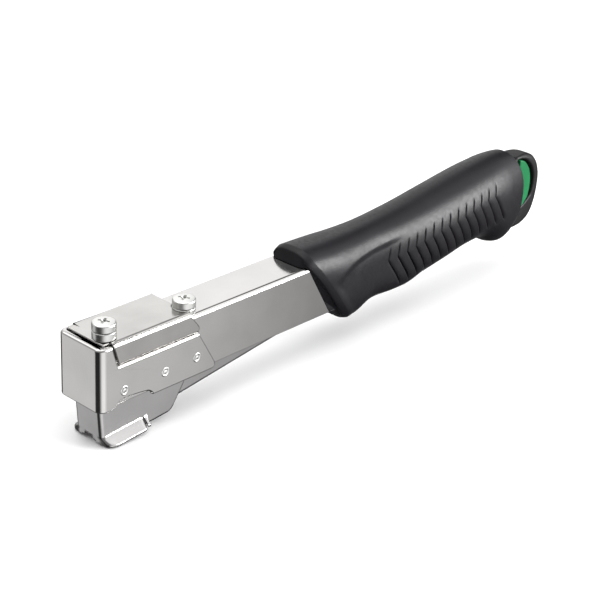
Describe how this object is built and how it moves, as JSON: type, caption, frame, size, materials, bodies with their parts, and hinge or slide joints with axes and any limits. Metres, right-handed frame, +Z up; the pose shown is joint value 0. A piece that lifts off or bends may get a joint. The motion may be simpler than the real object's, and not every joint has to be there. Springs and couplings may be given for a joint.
{
  "type": "hammer tacker staple gun",
  "caption": "Swing-type staple gun: a steel handle with a hinged, spring-returned staple magazine below it, a plated striking head, a black rubber grip and a squeeze-latched end piece for loading.",
  "frame": {"origin": "centre of the tool's footprint, at the height of its lowest edge, the front of the feet at rest", "axes": "+X from the nose to the butt, +Y to the right hand of the person holding the tool, +Z up"},
  "size_m": [0.332, 0.033, 0.0662],
  "materials": {
    "plated_steel": "bright nickel plate with soft satin reflections",
    "satin_steel": "satin plated sheet",
    "dark_steel": "oiled hardened steel",
    "spring_steel": "drawn spring wire",
    "grip_rubber": "matte moulded rubber with a soft sheen",
    "bumper_rubber": "matte",
    "black_plastic": "fine moulded texture",
    "green_plastic": "smooth moulded plastic"
  },
  "bodies": {
    "handle": {"handle_channel": "plated_steel", "front_cap": "plated_steel", "cover_plate": "plated_steel", "front_screw": "plated_steel", "front_collar": "plated_steel", "rear_screw": "plated_steel", "rear_collar": "plated_steel", "driver_block": "dark_steel", "driver_blade": "dark_steel", "rear_clamp_block": "dark_steel", "bumper": "bumper_rubber", "spring_seat": "dark_steel", "return_spring": "spring_steel", "rubber_grip": "grip_rubber", "grip_core": "black_plastic", "cap_rivet_left_1": "plated_steel", "cap_rivet_left_2": "plated_steel", "cap_rivet_left_3": "plated_steel", "cap_rivet_right_1": "plated_steel", "cap_rivet_right_2": "plated_steel", "cap_rivet_right_3": "plated_steel", "pivot_stud_left": "satin_steel", "pivot_stud_right": "satin_steel", "pivot_bush_left": "satin_steel", "pivot_bush_right": "satin_steel"},
    "magazine": {"magazine_channel": "satin_steel", "staple_rail": "satin_steel", "nose_shoe": "plated_steel", "nose_bridge": "satin_steel", "spring_saddle": "satin_steel", "follower_spring": "spring_steel"},
    "follower": {"follower": "dark_steel"},
    "loader": {"loader_hoop": "black_plastic", "push_rod": "spring_steel", "cheek_spring": "spring_steel"},
    "cheek_left": {"squeeze_cheek_left": "green_plastic"},
    "cheek_right": {"squeeze_cheek_right": "green_plastic"}
  },
  "joints": [
    {"name": "strike", "type": "hinge", "parent": "handle", "child": "magazine", "pos_m": [0.02, 0, 0.03197], "axis": [0, 1, 0], "range_deg": [0, 4.4], "stiffness_Nm_per_rad": 41, "springref_deg": -4.01, "deforming": ["return_spring"]},
    {"name": "follower_slide", "type": "slide", "parent": "magazine", "child": "follower", "axis": [0.9914, 0, 0.1309], "range_m": [0, 0.105], "stiffness_N_per_m": 40, "springref_m": -0.1, "deforming": ["follower_spring"]},
    {"name": "loader_pull", "type": "slide", "parent": "handle", "child": "loader", "axis": [1, 0, 0], "range_m": [0, 0.14]},
    {"name": "squeeze_left", "type": "slide", "parent": "loader", "child": "cheek_left", "axis": [0, 1, 0], "range_m": [0, 0.0016], "stiffness_N_per_m": 1000, "springref_m": -0.002, "deforming": ["cheek_spring"]},
    {"name": "squeeze_right", "type": "slide", "parent": "loader", "child": "cheek_right", "axis": [0, -1, 0], "range_m": [0, 0.0016], "stiffness_N_per_m": 1000, "springref_m": -0.002, "deforming": ["cheek_spring"]}
  ]
}
